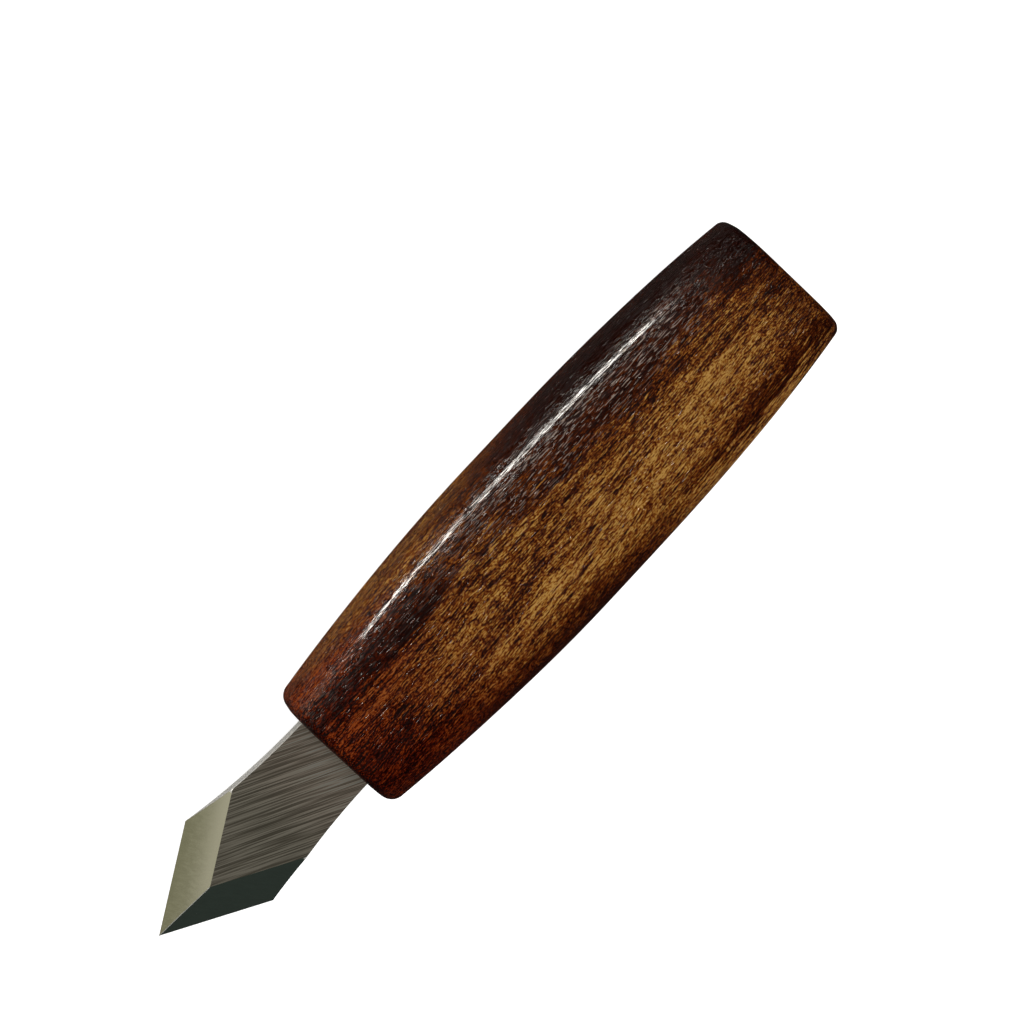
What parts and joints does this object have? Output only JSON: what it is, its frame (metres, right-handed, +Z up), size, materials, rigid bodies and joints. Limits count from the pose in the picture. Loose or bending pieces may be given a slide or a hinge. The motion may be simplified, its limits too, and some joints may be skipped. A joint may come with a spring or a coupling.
{
  "type": "whittling knife",
  "caption": "Short whittling knife: a flat-backed spear-point blade with two bevels, its tang glued into a barrel-shaped hardwood handle.",
  "frame": {"origin": "on the resting surface, under the middle of the knife's length, width and thickness", "axes": "+X from the butt of the handle to the tip of the blade; +Z up, from the flat back of the blade to its bevelled face; +Y across the handle"},
  "size_m": [0.153, 0.0316, 0.024],
  "materials": {
    "lacquered_walnut": "open-pored dark walnut under a clear gloss lacquer",
    "ground_steel": "surface ground on the flats, finer on the bevels",
    "cured_epoxy": "clear amber epoxy, cured"
  },
  "bodies": {
    "root": {"handle": "lacquered_walnut", "blade": "ground_steel", "tang_adhesive": "cured_epoxy"}
  },
  "joints": []
}
